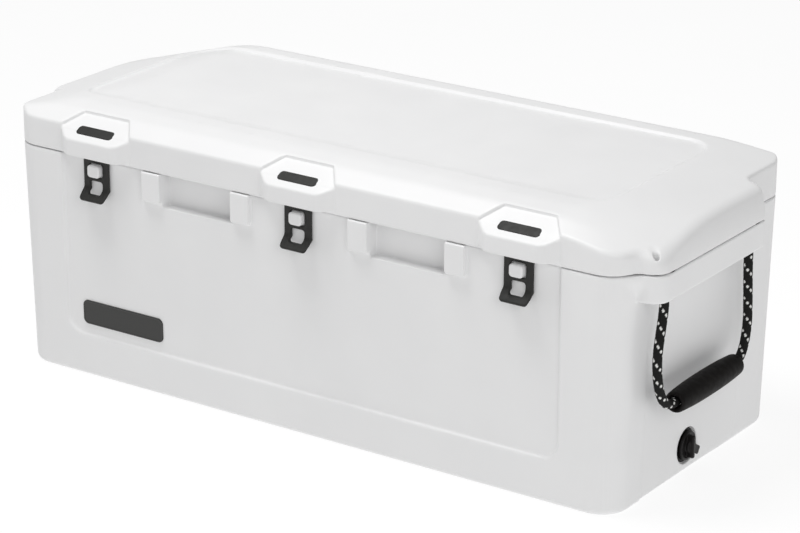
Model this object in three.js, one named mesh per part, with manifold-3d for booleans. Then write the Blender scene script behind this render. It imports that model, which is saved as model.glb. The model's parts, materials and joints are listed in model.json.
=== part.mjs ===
// A large rotomoulded ice chest: foam-filled double-walled body and lid, rear hinge pins, three rubber
// strap latches, two rope handles and a screw-in drain plug.
// Millimetres, +Z up, +X along the length, -Y the front. The origin is the centre of the base.
import * as THREE from "three";
import { mergeVertices } from "three/addons/utils/BufferGeometryUtils.js";
import Module from "manifold-3d";

const wasm = await Module();
wasm.setup();

// Body: outside sizes are at the parting line, where the walls are widest.
const bodyLength = 1060;
const bodyDepth = 464;
const bodyHeight = 350;
const cornerRadius = 45;
const endTaper = 7; // how far each end wall leans in at the base
const sideTaper = 4; // how far the front and back walls lean in at the base
const baseEdgeRadius = 9;
const endWall = 48;
const sideWall = 48;
const floorThickness = 30;
const cavityRadius = 30;
const skin = 5; // plastic left between a surface and the foam
const panelDepth = 5; // step down into the front and end panels

// Lid.
const seamGap = 1.5;
const lidFaceHeight = 45.5; // upright face of the lid, from its underside to the bevel
const bevelRise = 16;
const bevelRun = 29;
const rimWidth = 60; // from the front face to the sunk top panel
const rimRise = 5; // from the top of the front bevel to the sunk panel's edge
const topRise = 4; // from there to the ridge at the back
const ridgeFromBack = 27;
const ridgeDrop = 22; // from the ridge down to the back face
const endSlopeStart = 90; // from the end wall to where the top starts to fall
const endSlopeDrop = 19;
const topPanelStep = 4;
const topPanelLeft = 54; // from the left end wall to the sunk panel
const topPanelRight = 84;
const topPanelBack = 63;
const topPanelCorner = 50;
const lidPlugDepth = 18; // how far the lid reaches into the cavity
const lidPlugClearance = 4;

// End ledges of the body, and the matching flanges of the lid.
const ledgeReach = 36;
const ledgeHeight = 40;
const ledgeFront = -196;
const ledgeBack = 107;
const ledgeCorner = 22;
const flangeFaceHeight = 26;
const flangeShoulder = 10; // how far the flange's shoulder leans in
const flangeShoulderRise = 22;
const padlockHole = 9;
const padlockOut = 20; // from the end wall to the hole's middle
const padlockFromCorner = 16;
const lockCornerHeight = 28.5; // top of the lid at the padlock hole, above its underside
const lockCornerSlope = 0.445; // how steeply the lid falls towards that corner
const lockCornerTurn = -34; // degrees, which way it falls, from the lid's length
const endPanelFront = -150;
const endPanelBack = 120;

// Front panel, grip pockets and the pads beside them.
const panelMargin = 95; // column left at each end of the front face
const panelBottom = 66;
const panelCorner = 30;
const pocketCentre = 184;
const pocketLength = 128;
const pocketHeight = 51;
const pocketDepth = 18;
const tabWidth = 34;
const tabHeight = 46;

// Latches: a T-head held in a lid pad, and a strap that hooks over a keeper.
const latchSpacing = 368;
const padWidth = 130;
const padFrontWidth = 90;
const padBackWidth = 83;
const padReach = 17; // how far the pad stands out from the lid face
const padBackDepth = 30; // how far the pad's flat runs back from the lid face
const padSlope = 0.6; // rise of the pad's flat over its run
const padFaceTop = 30; // top of the pad's front edge above the lid's underside
const padLift = 4; // underside of the pad above the lid's underside
const strapWidth = 46.6;
const strapThickness = 5;
const strapInset = 2; // from the lid's front face back to the middle of the strap
const strapDrop = 43.7; // straight length below the strap's pivot
const tabLength = 21.6;
const tabOut = 15.5;
const headLength = 64.5;
const headDepth = 15.5;
const headThickness = 7;
const headCorner = 6;
const knobWidth = 22;
const knobHeight = 19;
const knobReach = 13; // from the front panel
const knobCorner = 5;
const knobClearance = 1.6;
const keeperWidth = 44;
const keeperHeight = 26;
const keeperCorner = 4;
const keeperThickness = 4; // its plate lies flush in a seat of this depth
const holeFromPivot = 3.5; // from the strap's pivot down to its upper hole
const strapBridge = 5.5; // rubber between the strap's two holes
const lowerHoleWidth = 23.5;
const lowerHoleHeight = 19.5;
const screwHead = 3; // radius
const screwHeadDepth = 2;
const screwShank = 2.2; // radius
const screwLength = 14;

// Hinges: barrels on the seam at the back, each pair with its own pin.
const hingeSpacing = 330;
const hingeOut = 2; // axis behind the back wall
const barrelRadius = 9;
const barrelLength = 30;
const barrelGap = 0.8;
const hingePinRadius = 3;
const pinClearance = 0.3;
const pinHeadRadius = 5.5;
const pinHeadThickness = 2;

// Rope handles.
const ropeDiameter = 13.5;
const ropeHoleClearance = 0.6;
const ropeSides = 5; // halves of the round section's sides
const ropeSteps = 26;
const ropeOut = 21; // from the end wall to where the rope leaves the ledge
const ropeFrontY = -155;
const ropeBackY = 82;
const stopRadius = 10.5; // ferrule clamped on each rope end
const stopHeight = 16;
const stopRoom = 1.2;
const gripLength = 176;
const gripRadius = 18.5;
const gripEndRadius = 14.5;
const gripBoreClearance = 1.5;
const gripCentreY = -30;
const gripDrop = 165; // from the ledge down to the middle of the grip

// Drain.
const drainY = -16;
const drainZ = 38;
const drainRecess = 27;
const drainRecessDepth = 7;
const drainBore = 13;
const bushingFlange = 25.5;
const bushingFlangeThickness = 3;
const bushingWall = 3;
const plugHeadRadius = 21;
const plugHeadThickness = 4;
const plugFit = 0.4;
const plugWing = 9;
const plugLug = 33; // reach of the pull lug from the plug's axis
const washerThickness = 2;
const plugThread = 10; // engaged length, undone by two turns

// Badge, filling ports and gasket.
const badgeLength = 152;
const badgeHeight = 38;
const badgeFromEnd = 124; // from the body's end to the badge
const badgeZ = 103;
const badgeCorner = 8;
const badgeSeat = 1; // depth of the shallow seat that the badge is glued in
const badgeProud = 2;
const portRadius = 15;
const portStep = 4;
const portRim = 3;
const portX = 300;
const gasketWidth = 10;
const gasketHeight = 6;

// Rope's middle line as it hangs, from its front hole to its back one: [y, drop below the ledge].
const ropeRoute = [
  [-155, 7.55],
  [-157, 25],
  [-162, 48],
  [-167, 72],
  [-168, 95],
  [-164, 120],
  [-155, 142],
  [-141, 158],
  [-124, 164],
  [-110, 165],
  [-80, 165],
  [-30, 165],
  [20, 165],
  [50, 165],
  [63, 163],
  [76, 152],
  [84, 134],
  [88, 110],
  [87, 84],
  [85, 58],
  [83, 34],
  [82, 7.55],
];

const arcSteps = 3; // half the number of flats on each rounded corner
const touch = 0.3; // gap between pieces that rest on each other

// Places worked out from the sizes above.
const halfL = bodyLength / 2;
const halfD = bodyDepth / 2;
const lidZ = bodyHeight + seamGap;
const frontPanelY = -halfD + panelDepth;
const hingeY = halfD + hingeOut;
const hingeZ = bodyHeight + seamGap / 2;
const strapY = -halfD + strapInset;
const strapTop = lidZ - touch - strapThickness / 2;
const ropeRadius = ropeDiameter / 2;
const ropeX = halfL + ropeOut;
const gripZ = bodyHeight - ledgeHeight - gripDrop;
const holeTop = strapTop - holeFromPivot;
const knobZ = holeTop - knobClearance - knobHeight / 2;
const holeBottom = knobZ - knobHeight / 2 - knobClearance;
const screwPlace = (keeperWidth + knobWidth) / 4;
const endFaceAtDrain = halfL - panelDepth - endTaper * (1 - drainZ / bodyHeight);
const drainSeat = endFaceAtDrain - drainRecessDepth;
const stations = { left: -latchSpacing, centre: 0, right: latchSpacing };
const hinges = { left: -hingeSpacing, right: hingeSpacing };
const ends = { left: -1, right: 1 };

const finishes = {
  shell: { color: 0xececec, roughness: 0.55, metalness: 0 },
  foam: { color: 0xe9dfb4, roughness: 0.9, metalness: 0 },
  rubber: { color: 0x323230, roughness: 0.6, metalness: 0 },
  rope: { color: 0x2a2a2a, roughness: 0.85, metalness: 0 },
  grip: { color: 0x1b1917, roughness: 0.7, metalness: 0 },
  blackPlastic: { color: 0x1d1c1b, roughness: 0.45, metalness: 0 },
  badge: { color: 0x3a3b3d, roughness: 0.4, metalness: 0 },
  steel: { color: 0xb9bcc0, roughness: 0.3, metalness: 1 },
};

// Turns a closed three.js geometry into a solid that can be joined and cut.
function solid(geometry) {
  const bare = geometry.index ? geometry.toNonIndexed() : geometry.clone();
  bare.deleteAttribute("normal");
  bare.deleteAttribute("uv");
  const merged = mergeVertices(bare, 1e-4);
  return new wasm.Manifold(
    new wasm.Mesh({
      numProp: 3,
      vertProperties: merged.attributes.position.array,
      triVerts: new Uint32Array(merged.index.array),
    }),
  );
}

function box(x0, x1, y0, y1, z0, z1) {
  const geometry = new THREE.BoxGeometry(x1 - x0, y1 - y0, z1 - z0);
  return solid(geometry.translate((x0 + x1) / 2, (y0 + y1) / 2, (z0 + z1) / 2));
}

// A round bar or disc from one end to the other along X, Y or Z.
function bar(axis, from, to, radius, a, b, sides = 16) {
  const geometry = new THREE.CylinderGeometry(radius, radius, to - from, sides);
  const middle = (from + to) / 2;
  if (axis === "x") {
    return solid(geometry.rotateZ(-Math.PI / 2).translate(middle, a, b));
  }
  if (axis === "y") {
    return solid(geometry.translate(a, middle, b));
  }
  return solid(geometry.rotateX(Math.PI / 2).translate(a, b, middle));
}

// A flat outline with each corner rounded by its own radius.
function outline(corners) {
  const shape = new THREE.Shape();
  corners.forEach(([x, y, radius = 0], i) => {
    const here = new THREE.Vector2(x, y);
    if (radius === 0) {
      if (i === 0) shape.moveTo(x, y);
      else shape.lineTo(x, y);
      return;
    }
    const [px, py] = corners[(i + corners.length - 1) % corners.length];
    const [nx, ny] = corners[(i + 1) % corners.length];
    const toLast = new THREE.Vector2(px - x, py - y).normalize();
    const toNext = new THREE.Vector2(nx - x, ny - y).normalize();
    const half = Math.acos(THREE.MathUtils.clamp(toLast.dot(toNext), -1, 1)) / 2;
    const run = radius / Math.tan(half);
    const start = here.clone().addScaledVector(toLast, run);
    const end = here.clone().addScaledVector(toNext, run);
    const middle = toLast.clone().add(toNext).normalize();
    const centre = here.clone().addScaledVector(middle, radius / Math.sin(half));
    const a0 = Math.atan2(start.y - centre.y, start.x - centre.x);
    const a1 = Math.atan2(end.y - centre.y, end.x - centre.x);
    const clockwise = toLast.cross(toNext) > 0;
    if (i === 0) shape.moveTo(start.x, start.y);
    else shape.lineTo(start.x, start.y);
    shape.absarc(centre.x, centre.y, radius, a0, a1, clockwise);
  });
  shape.closePath();
  return shape;
}

function rectangle(x0, x1, y0, y1, radius = 0) {
  return outline([
    [x0, y0, radius],
    [x1, y0, radius],
    [x1, y1, radius],
    [x0, y1, radius],
  ]);
}

function extruded(shape, depth) {
  const options = { depth, bevelEnabled: false, curveSegments: arcSteps };
  return new THREE.ExtrudeGeometry(shape, options);
}

// Leans a geometry's walls in towards the base, as the mould draws.
function drafted(geometry) {
  const points = geometry.getAttribute("position");
  for (let i = 0; i < points.count; i += 1) {
    const share = 1 - points.getZ(i) / bodyHeight;
    points.setX(i, points.getX(i) * (1 - (share * endTaper) / halfL));
    points.setY(i, points.getY(i) * (1 - (share * sideTaper) / halfD));
  }
  return geometry;
}

const upright = (geometry) => geometry;

// Upright prism of an outline drawn in X and Y.
function prism(shape, z0, z1, lean = upright) {
  return solid(lean(extruded(shape, z1 - z0).translate(0, 0, z0)));
}

// Prism along X of an outline drawn in Y and Z.
function prismX(shape, x0, x1, lean = upright) {
  const geometry = extruded(shape, x1 - x0).rotateX(Math.PI / 2).rotateZ(Math.PI / 2);
  return solid(lean(geometry.translate(x0, 0, 0)));
}

// Prism along Y of an outline drawn in X and Z.
function prismY(shape, y0, y1, lean = upright) {
  const geometry = extruded(shape, y1 - y0).rotateX(Math.PI / 2);
  return solid(lean(geometry.translate(0, y1, 0)));
}

function joined(parts) {
  return parts.reduce((whole, part) => whole.add(part));
}

function cut(part, cutters) {
  return cutters.reduce((left, cutter) => left.subtract(cutter), part);
}

// The left end is the right end turned half a turn, so the two handles and ledges are the same.
function atEnd(side, corners) {
  return outline(corners.map(([x, y, radius]) => [side * x, side * y, radius]));
}

const group = new THREE.Group();

function addNode(name, part, finish) {
  const mesh = part.getMesh();
  const geometry = new THREE.BufferGeometry();
  geometry.setAttribute("position", new THREE.BufferAttribute(mesh.vertProperties, 3));
  geometry.setIndex(new THREE.BufferAttribute(mesh.triVerts, 1));
  geometry.computeVertexNormals();
  const node = new THREE.Mesh(geometry, new THREE.MeshStandardMaterial(finishes[finish]));
  node.name = name;
  group.add(node);
}

// Plan of the ledge on one end of the body; the lid's flange has the same plan.
function ledgePlan(side, reach) {
  return atEnd(side, [
    [halfL - cornerRadius, ledgeFront - 2],
    [halfL + reach, ledgeFront + 6, ledgeCorner],
    [halfL + reach, ledgeBack - 3, 8],
    [halfL - cornerRadius, ledgeBack],
  ]);
}

// Body.

function bodyBlock() {
  const inset = baseEdgeRadius;
  const x = halfL - inset;
  const y = halfD - inset;
  const geometry = new THREE.ExtrudeGeometry(rectangle(-x, x, -y, y, cornerRadius - inset), {
    depth: bodyHeight,
    bevelThickness: inset,
    bevelSize: inset,
    bevelSegments: 4,
    curveSegments: arcSteps,
  });
  const block = solid(drafted(geometry.translate(0, 0, inset)));
  return block.intersect(box(-bodyLength, bodyLength, -bodyDepth, bodyDepth, -1, bodyHeight));
}

function cavity(grow, top) {
  const x = halfL - endWall + grow;
  const y = halfD - sideWall + grow;
  return prism(rectangle(-x, x, -y, y, cavityRadius + grow), floorThickness - grow, top, drafted);
}

function gripTabs() {
  const front = -halfD - 2;
  return [-1, 1].flatMap((side) =>
    [-1, 1].map((end) => {
      const inner = side * pocketCentre + (end * pocketLength) / 2;
      const outer = inner + end * tabWidth;
      const x0 = Math.min(inner, outer);
      const x1 = Math.max(inner, outer);
      return box(x0, x1, front, frontPanelY + 1, bodyHeight - tabHeight, bodyHeight + 2);
    }),
  );
}

function frontPanelCut() {
  const x = halfL - panelMargin;
  const shape = outline([
    [-x, panelBottom, panelCorner],
    [x, panelBottom, panelCorner],
    [x, bodyHeight + 1],
    [-x, bodyHeight + 1],
  ]);
  return cut(prismY(shape, -halfD - 1, frontPanelY, drafted), gripTabs());
}

function gripPocket(side, grow) {
  const x = side * pocketCentre;
  const half = pocketLength / 2 + grow;
  const low = bodyHeight - pocketHeight - grow;
  return box(x - half, x + half, -halfD - 2, frontPanelY + pocketDepth + grow, low, bodyHeight + 1);
}

function endPanelCut(side) {
  const x0 = halfL - panelDepth;
  const x1 = halfL + 2;
  if (side > 0) {
    const shape = rectangle(endPanelFront, endPanelBack, -1, bodyHeight - ledgeHeight);
    return prismX(shape, x0, x1, drafted);
  }
  const turned = rectangle(-endPanelBack, -endPanelFront, -1, bodyHeight - ledgeHeight);
  return prismX(turned, -x1, -x0, drafted);
}

// Each rope end comes up through the ledge and stops in a wider room that the lid covers.
function ropeHoles() {
  const top = bodyHeight;
  const floor = top - stopHeight - 2 * stopRoom;
  const hole = ropeRadius + ropeHoleClearance;
  return Object.values(ends).flatMap((side) =>
    [ropeFrontY, ropeBackY].flatMap((y) => [
      bar("z", top - ledgeHeight - 1, top, hole, side * ropeX, side * y),
      bar("z", floor, top + 1, stopRadius + stopRoom, side * ropeX, side * y),
    ]),
  );
}

// Barrels of one hinge: the outer two belong to the body and the middle one to the lid.
function barrels(x, owner, clearance = 0) {
  const step = barrelLength + barrelGap;
  const places = owner === "body" ? [x - step, x + step] : [x];
  const half = barrelLength / 2 + clearance;
  const radius = barrelRadius + clearance;
  return places.map((at) => bar("x", at - half, at + half, radius, hingeY, hingeZ));
}

// Bore of a hinge pin through its three barrels, with room for the pin's head beyond them.
function pinBore(x) {
  const half = 1.5 * barrelLength + barrelGap;
  const room = 2 * pinHeadThickness;
  return bar("x", x - half - 1, x + half + 1, hingePinRadius + pinClearance, hingeY, hingeZ)
    .add(bar("x", x + half, x + half + room, pinHeadRadius + barrelGap, hingeY, hingeZ));
}

// Space left solid around one hinge, above or below the seam.
function hingeRoom(x, z0, z1) {
  const half = 1.5 * barrelLength + barrelGap + skin;
  return box(x - half, x + half, hingeY - barrelRadius - skin, halfD + 1, z0, z1);
}

function padlockBores(z0, z1) {
  return Object.values(ends).map((side) => {
    const y = side * (ledgeFront + padlockFromCorner);
    return bar("z", z0, z1, padlockHole / 2, side * (halfL + padlockOut), y);
  });
}

function drainPath(grow) {
  const inner = halfL - endWall - endTaper - skin;
  return bar("x", inner, halfL, drainBore + touch + grow, drainY, drainZ);
}

function drainRecessCut(grow) {
  return bar("x", drainSeat - grow, halfL, drainRecess + grow, drainY, drainZ, 24);
}

// Seat that a keeper's plate lies in, flush with the front panel.
function keeperSeat(x, grow) {
  const half = keeperWidth / 2 + grow;
  const tall = keeperHeight / 2 + grow;
  const plate = rectangle(x - half, x + half, knobZ - tall, knobZ + tall, keeperCorner + grow);
  return prismY(plate, -halfD - 1, frontPanelY + keeperThickness + grow);
}

function keeperScrewHoles(grow) {
  const y1 = frontPanelY + screwLength + 1 + grow;
  const radius = screwShank + touch + grow;
  return Object.values(stations).flatMap((x) =>
    [-1, 1].map((side) => bar("y", -halfD - 5, y1, radius, x + side * screwPlace, knobZ, 12)),
  );
}

// The space between the two skins of the body. The foam is the same shape, shy of it all round.
function bodyVoid(shy) {
  const inset = panelDepth + skin + shy;
  const x = halfL - inset;
  const y = halfD - inset;
  const plan = rectangle(-x, x, -y, y, cornerRadius - inset);
  const block = prism(plan, skin + shy, bodyHeight - skin - shy, drafted);
  const grow = skin + shy;
  return cut(block, [
    cavity(grow, bodyHeight),
    gripPocket(-1, grow),
    gripPocket(1, grow),
    drainPath(grow),
    drainRecessCut(grow),
    ...Object.values(stations).map((at) => keeperSeat(at, grow)),
    ...keeperScrewHoles(grow),
    ...Object.values(hinges).map((at) =>
      hingeRoom(at, hingeZ - barrelRadius - grow, bodyHeight)),
  ]);
}

// A stepped filling hole at a height z, going up or down into the foam.
function fillingPort(z, up) {
  const rim = up * (portRim + touch);
  const deep = up * (skin + 3);
  const heads = [z - up, z + rim].sort((a, b) => a - b);
  const stems = [z - up, z + deep].sort((a, b) => a - b);
  return bar("z", ...heads, portRadius + touch, portX, 0)
    .add(bar("z", ...stems, portRadius - portStep + touch, portX, 0));
}

function fillingPlug(z, up) {
  const heads = [z, z + up * portRim].sort((a, b) => a - b);
  const stems = [z, z + up * skin].sort((a, b) => a - b);
  return bar("z", ...heads, portRadius, portX, 0)
    .add(bar("z", ...stems, portRadius - portStep, portX, 0));
}

function badgePlate(grow, y0, y1) {
  const x = -halfL + badgeFromEnd;
  const half = badgeHeight / 2 + grow;
  const shape = rectangle(
    x - grow,
    x + badgeLength + grow,
    badgeZ - half,
    badgeZ + half,
    badgeCorner + grow,
  );
  return prismY(shape, y0, y1, drafted);
}

function bodyShell() {
  const faced = cut(bodyBlock(), [
    frontPanelCut(),
    gripPocket(-1, 0),
    gripPocket(1, 0),
    endPanelCut(-1),
    endPanelCut(1),
    badgePlate(touch, -halfD - 1, frontPanelY + badgeSeat),
    ...Object.values(stations).map((x) => keeperSeat(x, touch)),
  ]);
  const ledges = Object.values(ends).map((side) =>
    prism(ledgePlan(side, ledgeReach), bodyHeight - ledgeHeight, bodyHeight),
  );
  const hollow = cut(joined([faced, ...ledges]), [
    cavity(0, bodyHeight + 1),
    bodyVoid(0),
    fillingPort(0, 1),
    ...ropeHoles(),
    ...padlockBores(bodyHeight - ledgeHeight - 1, bodyHeight + 1),
    drainRecessCut(0),
    drainPath(0),
    ...keeperScrewHoles(0),
    ...Object.values(hinges).flatMap((x) => barrels(x, "lid", barrelGap)),
  ]);
  const knuckles = Object.values(hinges).flatMap((x) => barrels(x, "body"));
  return cut(joined([hollow, ...knuckles]), Object.values(hinges).map(pinBore));
}

addNode("body_shell", bodyShell(), "shell");
addNode("body_foam", bodyVoid(touch).subtract(fillingPort(0, 1)), "foam");
addNode("body_filling_plug", fillingPlug(0, 1), "shell");
addNode("badge", badgePlate(0, frontPanelY - badgeProud, frontPanelY + badgeSeat - touch), "badge");

// Lid.

// Section of the lid from front to back, lowered by shy for the foam inside it.
function lidSection(shy) {
  const low = lidZ + shy;
  const face = lidZ + lidFaceHeight - shy;
  const front = -halfD + shy;
  const back = halfD - shy;
  const ridge = face + bevelRise + rimRise + topRise;
  return outline([
    [front, low],
    [front, face],
    [front + bevelRun, face + bevelRise],
    [front + rimWidth, face + bevelRise + rimRise],
    [back - ridgeFromBack, ridge],
    [back, ridge - ridgeDrop],
    [back, low],
  ]);
}

// Outline of the lid seen from the front.
function lidFrontView() {
  const low = lidZ;
  const top = lidZ + lidFaceHeight + bevelRise + rimRise + topRise + 1;
  const half = [
    [halfL + ledgeReach, low],
    [halfL + ledgeReach, low + flangeFaceHeight],
    [halfL + ledgeReach - flangeShoulder, low + flangeFaceHeight + flangeShoulderRise],
    [halfL, top - endSlopeDrop],
    [halfL - endSlopeStart, top],
  ];
  const left = half.map(([x, z]) => [-x, z]).reverse();
  return outline([...half, ...left]);
}

// Cuts a solid back to the sloping plane over each padlock hole, lowered by shy.
function slopeToLocks(solid, shy) {
  const turn = (lockCornerTurn * Math.PI) / 180;
  return [-1, 1].reduce((rest, side) => {
    const across = [Math.cos(turn), Math.sin(turn)].map((v) => -side * lockCornerSlope * v);
    const length = Math.hypot(...across, 1);
    const normal = [...across, -1].map((v) => v / length);
    const hole = [halfL + padlockOut, ledgeFront + padlockFromCorner].map((v) => side * v);
    const point = [...hole, lidZ + lockCornerHeight];
    const offset = normal.reduce((sum, v, k) => sum + v * point[k], 0);
    return rest.trimByPlane(normal, offset + shy);
  }, solid);
}

function lidPlan(shy) {
  const x = halfL - shy;
  const y = halfD - shy;
  return prism(rectangle(-x, x, -y, y, cornerRadius - shy), lidZ - 1, bodyHeight + bodyHeight);
}

function sunkTop() {
  const edge = lidZ + lidFaceHeight + bevelRise + rimRise - topPanelStep;
  const front = -halfD + rimWidth;
  const back = halfD - topPanelBack;
  const run = bodyDepth - rimWidth - ridgeFromBack;
  const rise = (topRise * (back - front)) / run;
  const slab = outline([
    [front, edge],
    [back, edge + rise],
    [back, edge + bodyHeight],
    [front, edge + bodyHeight],
  ]);
  const x0 = -halfL + topPanelLeft;
  const x1 = halfL - topPanelRight;
  return prismX(slab, x0, x1).intersect(
    prism(rectangle(x0, x1, front, back, topPanelCorner), bodyHeight, 2 * bodyHeight),
  );
}

// Tilted flat of a latch pad: its height at a place y.
function padHeight(y) {
  return lidZ + padFaceTop + (y + halfD + padReach) * padSlope;
}

const padFrontY = -halfD - padReach;
const padBackY = -halfD + padBackDepth;

function padPlan(x) {
  return outline([
    [x - padFrontWidth / 2, padFrontY, 3],
    [x + padFrontWidth / 2, padFrontY, 3],
    [x + padWidth / 2, -halfD],
    [x + padBackWidth / 2, padBackY, 3],
    [x - padBackWidth / 2, padBackY, 3],
    [x - padWidth / 2, -halfD],
  ]);
}

function pad(x) {
  const side = outline([
    [padFrontY - 1, lidZ + padLift],
    [padBackY, lidZ + padLift],
    [padBackY, padHeight(padBackY)],
    [padFrontY - 1, padHeight(padFrontY - 1)],
  ]);
  const half = padWidth / 2;
  return prismX(side, x - half, x + half).intersect(prism(padPlan(x), lidZ, 2 * bodyHeight));
}

// Everything above the pad's flat, cut out of the lid's bevel.
function padRoom(x) {
  const side = outline([
    [padFrontY - 1, padHeight(padFrontY - 1)],
    [padBackY, padHeight(padBackY)],
    [padBackY, 2 * bodyHeight],
    [padFrontY - 1, 2 * bodyHeight],
  ]);
  const half = padWidth / 2;
  return prismX(side, x - half, x + half).intersect(prism(padPlan(x), lidZ, 2 * bodyHeight));
}

// T-shaped latch head: a bar set flush in the pad's flat, and a neck down through the lid's edge.
function latchHead(x, clearance) {
  const tilt = Math.atan(padSlope);
  const run = (headDepth / 2 + clearance) * Math.cos(tilt);
  const rise = run * padSlope;
  const headY = -halfD + 2;
  const headZ = padHeight(headY);
  const deep = headThickness + clearance;
  const below = clearance > 0 ? 1 : 0;
  const openTop = below ? [[headY + run, headZ + rise + 1], [headY - run, headZ - rise + 1]] : [];
  const barSection = outline([
    [headY - run, headZ - rise],
    [headY - run + deep * Math.sin(tilt), headZ - rise - deep * Math.cos(tilt)],
    [headY + run + deep * Math.sin(tilt), headZ + rise - deep * Math.cos(tilt)],
    [headY + run, headZ + rise],
    ...openTop,
  ]);
  const half = headLength / 2 + clearance;
  const backY = headY + run + deep * Math.sin(tilt);
  const plan = rectangle(x - half, x + half, headY - run, backY, headCorner + clearance);
  const head = prismX(barSection, x - half, x + half)
    .intersect(prism(plan, lidZ, 2 * bodyHeight));
  const neckHalf = strapThickness / 2 + clearance;
  const neckWide = strapWidth / 2 + clearance;
  const neck = box(x - neckWide, x + neckWide, strapY - neckHalf, strapY + neckHalf,
    lidZ - below, headZ - headThickness);
  return head.add(neck);
}

function lidPlug(grow) {
  const x = halfL - endWall - lidPlugClearance + grow;
  const y = halfD - sideWall - lidPlugClearance + grow;
  return prism(
    rectangle(-x, x, -y, y, cavityRadius - lidPlugClearance + grow),
    lidZ - lidPlugDepth - grow,
    lidZ + 1,
  );
}

function gasketRing(grow, z0, z1) {
  const x = halfL - endWall / 2;
  const y = halfD - sideWall / 2;
  const half = gasketWidth / 2 + grow;
  const radius = cavityRadius + endWall / 2;
  const outer = prism(rectangle(-x - half, x + half, -y - half, y + half, radius), z0, z1);
  const xi = x - half;
  const yi = y - half;
  const inner = prism(
    rectangle(-xi, xi, -yi, yi, radius - gasketWidth - 2 * grow),
    z0 - 1,
    z1 + 1,
  );
  return outer.subtract(inner);
}

// Space between the lid's two skins, and the foam that fills it.
function lidVoid(shy) {
  const shell = skin + shy;
  const low = lidZ + gasketHeight + shell;
  const high = lidZ + lidFaceHeight + bevelRise + rimRise - topPanelStep - shell;
  const rim = prismX(lidSection(skin + shy), -halfL + shell, halfL - shell)
    .intersect(lidPlan(shell))
    .intersect(box(-halfL, halfL, -halfD, halfD, low, high - endSlopeDrop / 2));
  const x = halfL - Math.max(topPanelLeft, topPanelRight);
  const core = prism(rectangle(-x, x, -halfD + rimWidth, halfD - topPanelBack), low, high);
  const plugRoom = lidPlug(-skin - shy).intersect(
    box(-halfL, halfL, -halfD, halfD, lidZ - lidPlugDepth, lidZ + 1),
  );
  const reach = prism(
    rectangle(
      -halfL + endWall + lidPlugClearance + shell,
      halfL - endWall - lidPlugClearance - shell,
      -halfD + sideWall + lidPlugClearance + shell,
      halfD - sideWall - lidPlugClearance - shell,
      cavityRadius - lidPlugClearance - shell,
    ),
    lidZ,
    low + 1,
  );
  const padRooms = Object.values(stations).map((at) => {
    const half = padWidth / 2 + shell;
    return box(at - half, at + half, -halfD - 1, padBackY + shell, lidZ - 1, 2 * bodyHeight);
  });
  return cut(slopeToLocks(joined([rim, core, plugRoom, reach]), shell), [
    ...padRooms,
    ...Object.values(hinges).map((at) =>
      hingeRoom(at, lidZ, hingeZ + barrelRadius + skin + shy)),
  ]);
}

function lidShell() {
  const block = lidPlan(0)
    .add(prism(ledgePlan(-1, ledgeReach), lidZ, 2 * bodyHeight))
    .add(prism(ledgePlan(1, ledgeReach), lidZ, 2 * bodyHeight));
  const wide = halfL + ledgeReach + 1;
  const shaped = block
    .intersect(prismX(lidSection(0), -wide, wide))
    .intersect(prismY(lidFrontView(), -halfD - 1, halfD + 1));
  const pads = Object.values(stations);
  const sloped = slopeToLocks(shaped, 0);
  const dished = cut(sloped, [sunkTop(), ...pads.map(padRoom)]);
  const full = joined([dished, lidPlug(0), ...pads.map(pad)]);
  const hollow = cut(full, [
    lidVoid(0),
    fillingPort(lidZ - lidPlugDepth, 1),
    gasketRing(touch, lidZ - 1, lidZ + gasketHeight),
    ...pads.map((x) => latchHead(x, touch)),
    ...padlockBores(lidZ - 1, 2 * bodyHeight),
    ...Object.values(hinges).flatMap((x) => barrels(x, "body", barrelGap)),
  ]);
  const knuckles = Object.values(hinges).flatMap((x) => barrels(x, "lid"));
  return cut(joined([hollow, ...knuckles]), Object.values(hinges).map(pinBore));
}

addNode("lid_shell", lidShell(), "shell");
addNode("lid_foam", lidVoid(touch).subtract(fillingPort(lidZ - lidPlugDepth, 1)), "foam");
addNode("lid_filling_plug", fillingPlug(lidZ - lidPlugDepth, 1), "shell");
addNode("lid_gasket", gasketRing(0, bodyHeight + touch, lidZ + gasketHeight - touch), "rubber");

// Hinge pins, headed at one end.
for (const [name, x] of Object.entries(hinges)) {
  const half = 1.5 * barrelLength + barrelGap;
  const start = x + half + touch;
  const end = start + pinHeadThickness;
  const shaft = bar("x", x - half, end, hingePinRadius, hingeY, hingeZ);
  const head = bar("x", start, end, pinHeadRadius, hingeY, hingeZ);
  addNode(`hinge_pin_${name}`, shaft.add(head), "steel");
}

// Latches and their keepers.

// Side view of the strap: straight down from its pivot, then a pull tab that leans out.
function strapSection() {
  const t = strapThickness / 2;
  const bend = Math.asin(tabOut / tabLength);
  const miter = t * Math.tan(bend / 2);
  const low = strapTop - strapDrop;
  const endY = strapY - tabOut;
  const endZ = low - tabLength * Math.cos(bend);
  const across = t * Math.cos(bend);
  const along = t * Math.sin(bend);
  return outline([
    [strapY - t, strapTop + t, t - 0.1],
    [strapY - t, low + miter],
    [endY - across, endZ + along, 2],
    [endY + across, endZ - along, 2],
    [strapY + t, low - miter],
    [strapY + t, strapTop + t, t - 0.1],
  ]);
}

function strap(x) {
  const body = prismX(strapSection(), x - strapWidth / 2, x + strapWidth / 2);
  const half = knobWidth / 2 + knobClearance;
  const upper = rectangle(x - half, x + half, holeBottom, holeTop, 4);
  const lowerTop = holeBottom - strapBridge;
  const lowerHalf = lowerHoleWidth / 2;
  const lower = rectangle(x - lowerHalf, x + lowerHalf, lowerTop - lowerHoleHeight, lowerTop, 4);
  const y0 = strapY - tabOut - strapThickness;
  const y1 = strapY + strapThickness;
  return cut(body, [prismY(upper, y0, y1), prismY(lower, y0, y1)]);
}

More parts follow.
